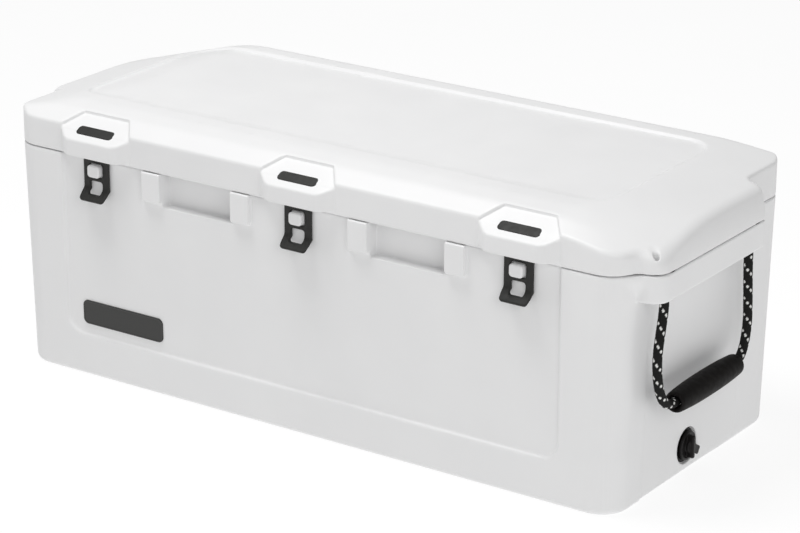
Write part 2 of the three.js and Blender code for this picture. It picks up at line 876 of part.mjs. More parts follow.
function keeper(x) {
  const front = frontPanelY;
  const back = front + keeperThickness;
  const half = keeperWidth / 2;
  const tall = keeperHeight / 2;
  const shape = rectangle(x - half, x + half, knobZ - tall, knobZ + tall, keeperCorner);
  const w = knobWidth / 2;
  const h = knobHeight / 2;
  const knobShape = rectangle(x - w, x + w, knobZ - h, knobZ + h, knobCorner);
  const knob = prismY(knobShape, front - knobReach, front + 1);
  const holes = [-1, 1].flatMap((side) => {
    const at = x + side * screwPlace;
    const shank = bar("y", front - 1, back + 1, screwShank + touch, at, knobZ, 12);
    const sink = bar("y", front - 1, front + screwHeadDepth + touch, screwHead + touch, at, knobZ);
    return [shank, sink];
  });
  return cut(prismY(shape, front, back).add(knob), holes);
}

function keeperScrew(x, side) {
  const place = x + side * screwPlace;
  return bar("y", frontPanelY, frontPanelY + screwHeadDepth, screwHead, place, knobZ)
    .add(bar("y", frontPanelY, frontPanelY + screwLength, screwShank, place, knobZ, 12));
}

for (const [name, x] of Object.entries(stations)) {
  addNode(`latch_head_${name}`, latchHead(x, 0), "rubber");
  addNode(`latch_strap_${name}`, strap(x), "rubber");
  addNode(`keeper_${name}`, keeper(x), "shell");
  addNode(`keeper_screw_${name}_a`, keeperScrew(x, -1), "steel");
  addNode(`keeper_screw_${name}_b`, keeperScrew(x, 1), "steel");
}

// Rope handles.

// Middle line of the rope from its front pivot, down through the grip and up to its back pivot.
function ropePath(side) {
  const x = side * ropeX;
  const low = bodyHeight - ledgeHeight;
  const points = ropeRoute.map(([y, drop]) => new THREE.Vector3(x, side * y, low - drop));
  return new THREE.CatmullRomCurve3(points, false, "centripetal");
}

function ropeTube(side) {
  const section = new THREE.Shape().absarc(0, 0, ropeRadius, 0, 2 * Math.PI);
  return solid(
    new THREE.ExtrudeGeometry(section, {
      steps: ropeSteps,
      curveSegments: ropeSides,
      bevelEnabled: false,
      extrudePath: ropePath(side),
    }),
  );
}

function grip(side) {
  const half = gripLength / 2;
  const bore = ropeRadius + gripBoreClearance;
  const profile = [
    new THREE.Vector2(bore, -half),
    new THREE.Vector2(gripEndRadius, -half),
    new THREE.Vector2(gripEndRadius + 1.5, -half + 4),
    new THREE.Vector2(gripRadius - 0.8, -half / 2),
    new THREE.Vector2(gripRadius, 0),
    new THREE.Vector2(gripRadius - 0.8, half / 2),
    new THREE.Vector2(gripEndRadius + 1.5, half - 4),
    new THREE.Vector2(gripEndRadius, half),
    new THREE.Vector2(bore, half),
    new THREE.Vector2(bore, -half),
  ];
  const geometry = new THREE.LatheGeometry(profile, 20);
  return solid(geometry.translate(side * ropeX, side * gripCentreY, gripZ));
}

// The fixed end of the rope: what stands in the ledge's hole, and the ferrule on top of it.
function ropeEnd(side, y) {
  const low = bodyHeight - ledgeHeight;
  const seat = bodyHeight - stopHeight - 2 * stopRoom + touch;
  return bar("z", low, seat + 1, ropeRadius, side * ropeX, y)
    .add(bar("z", seat, seat + stopHeight, stopRadius, side * ropeX, y));
}

for (const [name, side] of Object.entries(ends)) {
  const [front, back] = [side * ropeFrontY, side * ropeBackY].sort((a, b) => a - b);
  addNode(`rope_${name}`, ropeTube(side), "rope");
  addNode(`grip_${name}`, grip(side), "grip");
  addNode(`rope_end_${name}_front`, ropeEnd(side, front), "rope");
  addNode(`rope_end_${name}_back`, ropeEnd(side, back), "rope");
}

// Drain: a bushing through the wall, a washer and a plug that screws into it.
const flangeX = drainSeat + touch;
const washerX = flangeX + bushingFlangeThickness + touch;
const headX = washerX + washerThickness + touch;

function bushing() {
  const inner = halfL - endWall - endTaper + 4;
  const bore = drainBore - bushingWall;
  const body = bar("x", inner, flangeX + 1, drainBore, drainY, drainZ)
    .add(bar("x", flangeX, flangeX + bushingFlangeThickness, bushingFlange, drainY, drainZ, 24));
  return body.subtract(bar("x", inner - 1, halfL, bore, drainY, drainZ));
}

function drainWasher() {
  const shank = drainBore - bushingWall - plugFit;
  return bar("x", washerX, washerX + washerThickness, plugHeadRadius - 3, drainY, drainZ)
    .subtract(bar("x", washerX - 1, halfL, shank + touch, drainY, drainZ));
}

function drainPlug() {
  const shank = drainBore - bushingWall - plugFit;
  const start = washerX - plugThread;
  const outer = headX + plugHeadThickness;
  const lugAngle = -Math.PI / 6;
  const wing = box(outer - 1, outer + plugWing, drainY - 3.5, drainY + 3.5,
    drainZ - plugHeadRadius + 3, drainZ + plugHeadRadius - 3);
  const lug = new THREE.BoxGeometry(plugHeadThickness, plugLug - 10, 13)
    .translate(endFaceAtDrain + touch + plugHeadThickness / 2, (plugLug + 10) / 2, 0)
    .rotateX(lugAngle)
    .translate(0, drainY, drainZ);
  return bar("x", start, headX + 1, shank, drainY, drainZ)
    .add(bar("x", headX, outer, plugHeadRadius, drainY, drainZ, 24))
    .add(wing)
    .add(solid(lug));
}

addNode("drain_bushing", bushing(), "blackPlastic");
addNode("drain_washer", drainWasher(), "rubber");
addNode("drain_plug", drainPlug(), "blackPlastic");

export default group;
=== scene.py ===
# A long hard-sided ice chest: moulded white body and lid, rubber strap latches, rope handles, drain.
# Shapes are worked out in millimetres and become metres when a mesh is made.
# +X runs along the chest to its drain end, -Y is the front, +Z is up.
import json
import math
import bpy
import numpy as np
from mathutils import Matrix, Vector

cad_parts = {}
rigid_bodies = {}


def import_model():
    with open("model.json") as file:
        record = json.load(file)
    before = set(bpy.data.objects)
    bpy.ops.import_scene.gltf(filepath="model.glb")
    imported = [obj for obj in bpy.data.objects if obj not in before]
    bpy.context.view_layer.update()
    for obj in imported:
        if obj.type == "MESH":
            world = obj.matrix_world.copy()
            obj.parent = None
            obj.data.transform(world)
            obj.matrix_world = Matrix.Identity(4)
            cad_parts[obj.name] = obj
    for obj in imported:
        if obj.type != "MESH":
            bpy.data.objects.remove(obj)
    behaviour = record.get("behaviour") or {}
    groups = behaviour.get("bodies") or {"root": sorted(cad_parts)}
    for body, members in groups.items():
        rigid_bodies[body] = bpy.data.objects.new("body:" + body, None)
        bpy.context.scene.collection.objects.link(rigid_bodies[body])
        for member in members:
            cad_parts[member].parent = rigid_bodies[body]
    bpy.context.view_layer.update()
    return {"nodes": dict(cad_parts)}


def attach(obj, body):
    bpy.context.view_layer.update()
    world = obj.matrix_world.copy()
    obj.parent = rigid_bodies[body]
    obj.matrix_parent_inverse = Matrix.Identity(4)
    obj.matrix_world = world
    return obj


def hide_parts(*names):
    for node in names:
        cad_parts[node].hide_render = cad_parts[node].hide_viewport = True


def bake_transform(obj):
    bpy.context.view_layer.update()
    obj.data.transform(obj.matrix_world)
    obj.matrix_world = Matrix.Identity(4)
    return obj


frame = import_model()
scene = bpy.context.scene
print("frame loaded")

mm = 0.001
stations = {"left": -368, "centre": 0, "right": 368}
ends = {"left": -1, "right": 1}


# Camera

camera = {
    "azimuth": 34.28,
    "elevation": 20.09,
    "roll": 0.3,
    "lens": 136.09,
    "place": (2.38851, -3.47855, 1.73533),
}


def makeCamera():
    azimuth, elevation, roll = (math.radians(camera[k]) for k in ("azimuth", "elevation", "roll"))
    flat = math.cos(elevation)
    right = Vector((math.cos(azimuth), math.sin(azimuth), 0))
    back = Vector((math.sin(azimuth) * flat, -math.cos(azimuth) * flat, math.sin(elevation)))
    up = back.cross(right)
    side = right * math.cos(roll) + up * math.sin(roll)
    top = up * math.cos(roll) - right * math.sin(roll)
    data = bpy.data.cameras.new("camera")
    data.sensor_width = 36
    data.lens = camera["lens"]
    data.clip_end = 50
    holder = bpy.data.objects.new("camera", data)
    scene.collection.objects.link(holder)
    turn = Matrix((side, top, back)).transposed().to_4x4()
    holder.matrix_world = Matrix.Translation(Vector(camera["place"])) @ turn
    scene.camera = holder


makeCamera()


# Rope handles. The route is the rope's middle line from its front hole to its back one.

rope = {
    "diameter": 13.5,
    "x": 551,
    "length": 0.548,
    "across": 40,  # points around the rope
    "step": 1.1,  # between rings along it
    "strands": 16,
    "plait": 6.3,  # length over which a strand moves one strand's width round
    "relief": 0.55,
    "whiteStrands": (0, 4),
    "blend": (0.311, 0.296),  # heights in metres between which it turns with its handle
    "route": [
        (-155, 312), (-155, 302.45), (-157, 285), (-162, 262), (-167, 238), (-168, 215), (-164, 190),
        (-155, 168), (-141, 152), (-124, 146), (-110, 145), (-80, 145), (-30, 145), (20, 145),
        (50, 145), (63, 147), (76, 158), (84, 176), (88, 200), (87, 226), (85, 252), (83, 276),
        (82, 302.45), (82, 312),
    ],
}


def smoothPath(points, step):
    # Catmull-Rom through the points, then even steps along it.
    ext = np.vstack([2 * points[0] - points[1], points, 2 * points[-1] - points[-2]])
    fine = []
    for a, b, c, d in zip(ext, ext[1:], ext[2:], ext[3:]):
        for t in np.linspace(0, 1, 24, endpoint=False):
            bend = 2 * b + (c - a) * t + (2 * a - 5 * b + 4 * c - d) * t**2
            fine.append(0.5 * (bend + (3 * b - a - 3 * c + d) * t**3))
    fine = np.array(fine + [points[-1]])
    run = np.concatenate([[0], np.cumsum(np.linalg.norm(np.diff(fine, axis=0), axis=1))])
    even = np.linspace(0, run[-1], int(run[-1] / step) + 1)
    return np.column_stack([np.interp(even, run, fine[:, k]) for k in range(3)]), even


def braid(along, turn):
    # Height and whiteness of a two-way braid at places along and round the rope.
    count = rope["strands"] / 2
    wind = turn * count / (2 * math.pi)
    climb = along / rope["plait"]
    first, second = wind + climb, wind - climb
    over = (np.floor(first) + np.floor(second)) % 2 == 0
    ridgeA = np.sqrt(np.clip(1 - (2 * (first % 1) - 1) ** 2, 0, 1))
    ridgeB = np.sqrt(np.clip(1 - (2 * (second % 1) - 1) ** 2, 0, 1))
    height = np.where(over, ridgeA, ridgeB)
    white = np.isin(np.floor(first) % count, rope["whiteStrands"]) & over & (ridgeA > 0.5)
    return height, white.astype(float)


def meshFrom(name, points, faces, smooth=True):
    mesh = bpy.data.meshes.new(name)
    mesh.from_pydata(np.asarray(points).tolist(), [], faces)
    mesh.update()
    if smooth:
        mesh.shade_smooth()
    piece = bpy.data.objects.new(name, mesh)
    scene.collection.objects.link(piece)
    return piece


def ropePiece(end, side):
    points = np.array([(side * rope["x"], side * y, z) for y, z in rope["route"]], float)
    line, along = smoothPath(points, rope["step"])
    ahead = np.gradient(line, axis=0)
    ahead /= np.linalg.norm(ahead, axis=1)[:, None]
    across = np.tile([side * 1.0, 0, 0], (len(line), 1))
    outward = np.cross(ahead, across)
    turn = np.linspace(0, 2 * math.pi, rope["across"], endpoint=False)
    s, t = np.meshgrid(along, turn, indexing="ij")
    height, white = braid(s, t)
    radius = rope["diameter"] / 2 - rope["relief"] * (1 - height)
    ring = np.cos(t)[..., None] * across[:, None] + np.sin(t)[..., None] * outward[:, None]
    skin = (line[:, None] + ring * radius[..., None]).reshape(-1, 3)
    rows, count = len(line), rope["across"]
    i, j = np.meshgrid(np.arange(rows - 1), np.arange(count), indexing="ij")
    a, b = i * count + j, i * count + (j + 1) % count
    faces = np.stack([a, a + count, b + count, b], axis=-1).reshape(-1, 4).tolist()
    faces.append(list(range(count)))
    faces.append(list(range((rows - 1) * count, rows * count))[::-1])
    piece = meshFrom(f"rope_{end}_braid", skin * mm, faces)
    mark = piece.data.attributes.new("fleck", "FLOAT", "POINT")
    mark.data.foreach_set("value", white.ravel().astype(np.float32))
    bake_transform(piece)
    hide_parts(f"rope_{end}")
    return piece, along[-1]


# Shapes: a field is negative inside a shape and positive outside it, in millimetres.

def smoothMax(a, b, k):
    h = np.maximum(k - np.abs(a - b), 0) / k
    return np.maximum(a, b) + h * h * k / 4


def smoothMin(a, b, k):
    return -smoothMax(-a, -b, k)


def roundMax(a, b, r):
    # Both shapes' common part, its edge rounded to radius r.
    return np.minimum(np.maximum(a, b), -r) + np.hypot(np.maximum(a + r, 0), np.maximum(b + r, 0))


def roundMin(a, b, r):
    # The two shapes joined, with a fillet of radius r.
    return -roundMax(-a, -b, r)


def carve(a, b, r):
    return roundMax(a, -b, r)


def slab(v, low, high):
    return np.abs(v - (low + high) / 2) - (high - low) / 2


def rodField(a, b, atA, atB, radius):
    return np.hypot(a - atA, b - atB) - radius


def leaning(a, b, p, q):
    # A half plane through p and q, its inside on the left when going from p to q.
    da, db = q[0] - p[0], q[1] - p[1]
    return ((a - p[0]) * db - (b - p[1]) * da) / math.hypot(da, db)


def ramp(v, low, high):
    t = np.clip((v - low) / (high - low), 0, 1)
    return t * t * (3 - 2 * t)


def gridLines(low, high, fine, coarse, spans):
    places = [low]
    while places[-1] < high:
        here = places[-1]
        gap = min(max(a - here, here - b, 0) for a, b in spans)
        places.append(here + min(coarse, fine + 0.3 * gap))
    return np.array(places)


def surfaceOf(values, xs, ys, zs):
    # One vertex in each cell that the surface crosses, one quad across each crossed edge.
    grid = (xs, ys, zs)
    cells = np.array([len(g) - 1 for g in grid])
    inside = values < 0
    ids, spots, quads = [], [], []
    for axis in range(3):
        low = [slice(None)] * 3
        high = [slice(None)] * 3
        low[axis], high[axis] = slice(0, -1), slice(1, None)
        low, high = tuple(low), tuple(high)
        found = np.array(np.nonzero(inside[low] != inside[high]))
        v0, v1 = values[low][tuple(found)], values[high][tuple(found)]
        spot = np.column_stack([g[found[k]] for k, g in enumerate(grid)]).astype(float)
        reach = grid[axis][found[axis] + 1] - grid[axis][found[axis]]
        spot[:, axis] += v0 / (v0 - v1) * reach
        b, c = (axis + 1) % 3, (axis + 2) % 3
        around = []
        for db, dc in ((1, 1), (0, 1), (0, 0), (1, 0)):
            cell = found.copy()
            cell[b] -= db
            cell[c] -= dc
            around.append((cell[0] * cells[1] + cell[1]) * cells[2] + cell[2])
            ids.append(around[-1])
            spots.append(spot)
        quad = np.column_stack(around)
        quads.append(np.where((v0 < 0)[:, None], quad, quad[:, ::-1]))
    ids, spots, quads = np.concatenate(ids), np.concatenate(spots), np.concatenate(quads)
    names, order = np.unique(ids, return_inverse=True)
    tally = np.bincount(order)
    points = np.column_stack([np.bincount(order, spots[:, k]) / tally for k in range(3)])
    return points, np.searchsorted(names, quads)


def fieldPiece(name, field, lines, limit=90000):
    xs, ys, zs = lines
    x, y, z = xs[:, None, None], ys[None, :, None], zs[None, None, :]
    values = field(x, y, z) + np.zeros((len(xs), len(ys), len(zs)))
    points, quads = surfaceOf(values, xs, ys, zs)
    piece = meshFrom(name, points * mm, quads.tolist())
    if len(quads) > limit:
        thin = piece.modifiers.new("thin", "DECIMATE")
        thin.ratio = limit / len(quads)
    weigh = piece.modifiers.new("shading", "WEIGHTED_NORMAL")
    weigh.keep_sharp = False
    applyAll(piece)
    return piece


def applyAll(piece):
    ready = bpy.data.meshes.new_from_object(piece.evaluated_get(bpy.context.evaluated_depsgraph_get()))
    piece.modifiers.clear()
    piece.data = ready


def evenLines(low, high, step):
    return tuple(np.arange(a, b + step, step) for a, b in zip(low, high))


# Materials

def newMaterial(name, colour, roughness, **sockets):
    material = bpy.data.materials.new(name)
    material.use_nodes = True
    tree = material.node_tree
    shader = tree.nodes["Principled BSDF"]
    shader.inputs["Base Color"].default_value = (*colour, 1)
    shader.inputs["Roughness"].default_value = roughness
    for socket, value in sockets.items():
        shader.inputs[socket.replace("_", " ")].default_value = value
    return material, tree, shader


def noiseOf(tree, scale, detail=3, stretch=None):
    place = tree.nodes.new("ShaderNodeTexCoord").outputs["Object"]
    if stretch:
        mapping = tree.nodes.new("ShaderNodeMapping")
        mapping.inputs["Scale"].default_value = stretch
        tree.links.new(place, mapping.inputs["Vector"])
        place = mapping.outputs["Vector"]
    noise = tree.nodes.new("ShaderNodeTexNoise")
    noise.inputs["Scale"].default_value = scale
    noise.inputs["Detail"].default_value = detail
    tree.links.new(place, noise.inputs["Vector"])
    return noise.outputs["Fac"]


def rangeOf(tree, source, low, high, start=0.3, end=0.7):
    node = tree.nodes.new("ShaderNodeMapRange")
    for socket, value in (("From Min", start), ("From Max", end), ("To Min", low), ("To Max", high)):
        node.inputs[socket].default_value = value
    tree.links.new(source, node.inputs["Value"])
    return node.outputs["Result"]


def mixOf(tree, amount, first, second):
    mix = tree.nodes.new("ShaderNodeMix")
    mix.data_type = "RGBA"
    for socket, value in ((6, first), (7, second)):
        if isinstance(value, tuple):
            mix.inputs[socket].default_value = (*value, 1)
        else:
            tree.links.new(value, mix.inputs[socket])
    tree.links.new(amount, mix.inputs[0])
    return mix.outputs[2]


def bumpOf(tree, shader, *layers):
    last = None
    for height, strength, distance in layers:
        bump = tree.nodes.new("ShaderNodeBump")
        bump.inputs["Strength"].default_value = strength
        bump.inputs["Distance"].default_value = distance
        tree.links.new(height, bump.inputs["Height"])
        if last:
            tree.links.new(last, bump.inputs["Normal"])
        last = bump.outputs["Normal"]
    tree.links.new(last, shader.inputs["Normal"])


def mottled(name, pale, dark, roughness, spread, grain, waves, swell=0.25, **sockets):
    # A moulded finish: slight colour drift, uneven gloss, fine grain over slow waves.
    material, tree, shader = newMaterial(name, pale, roughness, **sockets)
    drift = rangeOf(tree, noiseOf(tree, waves), 0, 1)
    tree.links.new(mixOf(tree, drift, pale, dark), shader.inputs["Base Color"])
    gloss = rangeOf(tree, noiseOf(tree, waves * 2.5, 4), roughness - spread, roughness + spread)
    tree.links.new(gloss, shader.inputs["Roughness"])
    bumpOf(tree, shader, (noiseOf(tree, waves), swell, 0.002), (noiseOf(tree, grain, 2), 0.18, 0.0003))
    return material


# Name, pale and dark colours, roughness and its spread, grain and wave scales, swell.
whiteShell = mottled("white moulded shell", (0.84, 0.84, 0.842), (0.82, 0.82, 0.823), 0.46, 0.04, 1400, 9)
latchRubber = mottled("latch rubber", (0.026, 0.026, 0.024), (0.019, 0.019, 0.018), 0.55, 0.08, 2600, 60,
                      Specular_IOR_Level=0.3)
gripRubber = mottled("grip rubber", (0.007, 0.006, 0.005), (0.004, 0.003, 0.003), 0.62, 0.08, 2200, 50,
                     swell=0.04, Specular_IOR_Level=0.15)
sealRubber = mottled("seal rubber", (0.02, 0.02, 0.02), (0.014, 0.014, 0.014), 0.6, 0.08, 3000, 60)
blackPlastic = mottled("black plastic", (0.006, 0.005, 0.005), (0.004, 0.003, 0.003), 0.42, 0.08, 2400, 40,
                       Specular_IOR_Level=0.2)
foamFill = mottled("rigid foam", (0.62, 0.55, 0.34), (0.52, 0.45, 0.27), 0.85, 0.08, 500, 30)


def steelMaterial():
    material, tree, shader = newMaterial("stainless steel", (0.56, 0.56, 0.57), 0.3, Metallic=1.0)
    lay = noiseOf(tree, 900, 4, (1, 18, 18))
    tree.links.new(rangeOf(tree, lay, 0.22, 0.42), shader.inputs["Roughness"])
    bumpOf(tree, shader, (lay, 0.15, 0.0002))
    return material


def badgeMaterial():
    material, tree, shader = newMaterial("badge face", (0.045, 0.045, 0.044), 0.42, Specular_IOR_Level=0.3)
    lay = noiseOf(tree, 700, 3, (1, 30, 30))
    tree.links.new(mixOf(tree, rangeOf(tree, lay, 0, 1), (0.05, 0.05, 0.048), (0.04, 0.04, 0.039)),
                   shader.inputs["Base Color"])
    tree.links.new(rangeOf(tree, lay, 0.36, 0.5), shader.inputs["Roughness"])
    bumpOf(tree, shader, (lay, 0.1, 0.0002))
    return material


def ropeMaterial():
    material, tree, shader = newMaterial("braided rope", (0.012, 0.012, 0.012), 0.75,
                                         Specular_IOR_Level=0.15)
    mark = tree.nodes.new("ShaderNodeAttribute")
    mark.attribute_name = "fleck"
    fibre = noiseOf(tree, 1800, 3)
    black = mixOf(tree, rangeOf(tree, fibre, 0, 1), (0.016, 0.016, 0.015), (0.005, 0.005, 0.005))
    white = mixOf(tree, rangeOf(tree, fibre, 0, 1), (0.88, 0.88, 0.86), (0.68, 0.68, 0.66))
    tree.links.new(mixOf(tree, mark.outputs["Fac"], black, white), shader.inputs["Base Color"])
    tree.links.new(rangeOf(tree, fibre, 0.65, 0.85), shader.inputs["Roughness"])
    bumpOf(tree, shader, (fibre, 0.4, 0.0003))
    return material


steel = steelMaterial()
badgeFace = badgeMaterial()
ropeBraid = ropeMaterial()
print("materials made")


def wear(piece, material, body, slot, *stoodFor):
    piece.data.materials.clear()
    piece.data.materials.append(material)
    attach(piece, body)
    if stoodFor:
        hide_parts(*stoodFor)
    return piece


# Hinge line at the back. The body and the lid are notched for its barrels.

hinge = {
    "at": 330, "y": 234, "z": 350.75, "radius": 9, "bore": 3.3, "barrel": 30, "gap": 0.8,
    "notch": 10, "notchHalf": 16, "neighbour": 31,
    "leaf": 8, "leafFront": 222, "leafFillet": 3, "edge": 1.2,
}


def hingeNotch(x, y, z, shift):
    # Room for the barrels whose middles are this far to either side of a hinge's middle.
    away = np.abs(np.abs(x) - hinge["at"])
    return np.maximum(rodField(y, z, hinge["y"], hinge["z"], hinge["notch"]),
                      np.abs(away - shift) - hinge["notchHalf"])


# Body

body = {
    "length": 1060, "depth": 464, "height": 350,
    "endTaper": 7, "sideTaper": 4,
    "corner": 45, "baseEdge": 10, "rimEdge": 1.6,
    "wall": 48, "cavityCorner": 30, "cavityFloor": 30, "cavityFloorEdge": 22,
    "panelEdge": 435, "panelBottom": 66, "panelCorner": 30, "panelDepth": 5,
    "panelSlope": 0.65, "panelRim": 3.2,
    "pocketAt": 184, "pocketHalf": 64, "pocketBottom": 299, "pocketBack": -209,
    "tabWidth": 34, "tabBottom": 304, "tabFront": -234, "tabBack": -215,
    "ledgeOut": 566, "ledgeFront": -196, "ledgeBack": 107, "ledgeBottom": 310, "ledgeEdge": 4,
    "ledgeNear": 485, "ledgeInner": 470,
    "endPanel": (-150, 120), "endFade": 20,
    "ropeHole": 7.4, "ropeEnds": (-155, 82), "ropeSeat": 11.7, "ropeSeatBottom": 331,
    "holeBottom": 305, "holeEdge": 1.2,
    "padlock": (550, -180, 4.5),
    "drain": (-16, 38), "drainSeat": 27, "drainDepth": 7, "drainBore": 13.4, "drainInner": 440,
    "drainTaper": 6.2,  # how far the end wall leans in at the drain's height
}


def ledgePlan(x, y, corner=22):
    # Plan of the ledge at the drain end; turned half a turn it is the other one.
    out = x - body["ledgeOut"]
    near, outer = body["ledgeNear"], body["ledgeOut"]
    front = leaning(x, y, (near, body["ledgeFront"] - 2), (outer, body["ledgeFront"] + 6))
    back = leaning(x, y, (outer, body["ledgeBack"] - 3), (near, body["ledgeBack"]))
    return np.maximum(roundMax(roundMax(out, front, corner), back, 8), body["ledgeInner"] - x)


def footShare(z):
    # 1 at the foot of the body and 0 at its rim, for the taper of its walls.
    return np.clip(1 - z / body["height"], 0, 1)


def bodyPlan(x, y, z):
    sideX = np.abs(x) - body["length"] / 2 + body["endTaper"] * footShare(z)
    sideY = np.abs(y) - body["depth"] / 2 + body["sideTaper"] * footShare(z)
    return roundMax(sideX, sideY, body["corner"])


def bodyField(x, y, z):
    shell = roundMax(bodyPlan(x, y, z), -z, body["baseEdge"])

    # Front panel, set back between the corner columns, with sloping sides.
    flat = -(body["depth"] / 2 - body["panelDepth"]) + body["sideTaper"] * footShare(z)
    reach = roundMax(np.abs(x) - body["panelEdge"], body["panelBottom"] - z, body["panelCorner"])
    lean = body["panelSlope"]
    slope = (reach + body["panelRim"] + lean * (y - flat)) / math.hypot(1, lean)
    shell = carve(shell, roundMax(slope, y - flat, 1.5), 1.3)

    # Pads beside each grip pocket, and the pockets.
    at = np.abs(np.abs(x) - body["pocketAt"])
    tab = slab(at, body["pocketHalf"], body["pocketHalf"] + body["tabWidth"])
    tab = roundMax(roundMax(tab, body["tabBottom"] - z, 5), body["tabFront"] - y, 1.6)
    shell = roundMin(shell, np.maximum(tab, y - body["tabBack"]), 2)
    pocket = roundMax(at - body["pocketHalf"], body["pocketBottom"] - z, 4)
    shell = carve(shell, roundMax(pocket, y - body["pocketBack"], 2.5), 1.3)

    # End panels and ledges.
    for side in ends.values():
        u, v = side * x, side * y
        low, high = body["endPanel"]
        sunk = body["panelDepth"] * (1 - ramp(v, body["endFade"], high))
        endFace = body["length"] / 2 - sunk - body["endTaper"] * footShare(z)
        panel = np.maximum(slab(v, low, high), z - body["ledgeBottom"])
        shell = carve(shell, roundMax(panel, endFace - u, 3), 3)
        ledge = roundMax(ledgePlan(u, v), body["ledgeBottom"] - z, body["ledgeEdge"])
        gusset = 3 + 20 * ramp(-v, 120, 160) * ramp(z, 316, 346)
        shell = roundMin(shell, ledge, gusset)

    shell = roundMax(shell, z - body["height"], body["rimEdge"])

    # Cold compartment.
    innerX = np.abs(x) - body["length"] / 2 + body["wall"] + body["endTaper"] * footShare(z)
    innerY = np.abs(y) - body["depth"] / 2 + body["wall"] + body["sideTaper"] * footShare(z)
    room = roundMax(innerX, innerY, body["cavityCorner"])
    room = roundMax(room, body["cavityFloor"] - z, body["cavityFloorEdge"])
    shell = carve(shell, room, 5)

    # Holes: ropes, padlock, drain and the lid's hinge barrels.
    lockX, lockY, lockR = body["padlock"]
    for side in ends.values():
        u, v = side * x, side * y
        for place in body["ropeEnds"]:
            hole = rodField(u, v, rope["x"], place, body["ropeHole"])
            seat = rodField(u, v, rope["x"], place, body["ropeSeat"])
            hole = np.minimum(hole, np.maximum(seat, body["ropeSeatBottom"] - z))
            shell = carve(shell, np.maximum(hole, body["holeBottom"] - z), body["holeEdge"])
        lock = rodField(u, v, lockX, lockY, lockR)
        shell = carve(shell, np.maximum(lock, body["holeBottom"] - z), body["holeEdge"])
    atY, atZ = body["drain"]
    seatX = body["length"] / 2 - body["panelDepth"] - body["drainTaper"] - body["drainDepth"]
    shell = carve(shell, roundMax(rodField(y, z, atY, atZ, body["drainSeat"]), seatX - x, 1.5), 1.6)
    bore = np.maximum(rodField(y, z, atY, atZ, body["drainBore"]), body["drainInner"] - x)
    shell = carve(shell, bore, 1)
    return np.maximum(shell, -hingeNotch(x, y, z, 0))


def around(*places, reach=7):
    return [(p - reach, p + reach) for p in places]


def mirrored(*places, reach=7):
    return around(*places, *[-p for p in places], reach=reach)


def makeBody():
    tabIn = body["pocketAt"] - body["pocketHalf"]
    tabOut = body["pocketAt"] + body["pocketHalf"]
    edges = (body["panelEdge"], tabIn, tabOut, tabIn - body["tabWidth"], tabOut + body["tabWidth"])
    xs = gridLines(-572, 573, 1.7, 9, mirrored(*edges) + mirrored(hinge["at"], reach=17)
                   + [(-569, -515), (515, 569), (-490, -474), (474, 490)])
    ys = gridLines(-240, 240, 1.7, 8, [(-237, -205), (222, 236)] + mirrored(184, reach=6)
                   + mirrored(155, 82, reach=12) + mirrored(180, reach=6) + mirrored(196, 107, reach=6)
                   + mirrored(150, 120, reach=5) + [(-45, 14)])
    zs = gridLines(-4, 354, 1.7, 8, [(-1, 13), (27, 50), (58, 74), (296, 316), (329, 351)]
                   + [(8, 68)])
    piece = fieldPiece("chest_body", bodyField, (xs, ys, zs))
    wear(piece, whiteShell, "root", "shell", "body_shell")
    print("body:", len(piece.data.polygons), "faces")


makeBody()


# Lid

lid = {
    "under": 351.5, "ledgeCorner": 26, "ledgeEase": 16,
    "bevel": ((-232, 397), (-203, 413)),
    "rim": ((-203, 413), (-172, 418)),
    "top": ((-172, 418), (205, 422)),
    "backSlope": ((205, 422), (232, 400)),
    "endSlope": ((441, 421), (530, 404)),
    "shoulder": ((556, 400), (566, 375)),
    "dishX": (-477, 446), "dishY": (-142, 174), "dishCorner": 42, "dishDepth": 4, "dishEdge": 5,
    "plugDepth": 18, "plugIn": 52,
    "padFront": -249, "padBack": -202, "padLift": 355.5, "padTop": 381.2, "padSlope": 0.56,
    "padHalf": (45, 65, 41.5),
    "cornerCut": {"at": (550, -181, 380), "slope": 0.445, "way": (0.827, -0.562), "ease": 18},
    "plugCorner": 26, "plugEdge": 7, "plugTop": 365,
    "seal": {"x": 506, "y": 208, "corner": 54, "half": 5.3, "top": 357.5},
    "lockMouth": {"radius": 10, "height": 384, "flare": 1.2, "lean": 1.5, "edge": 2},
}


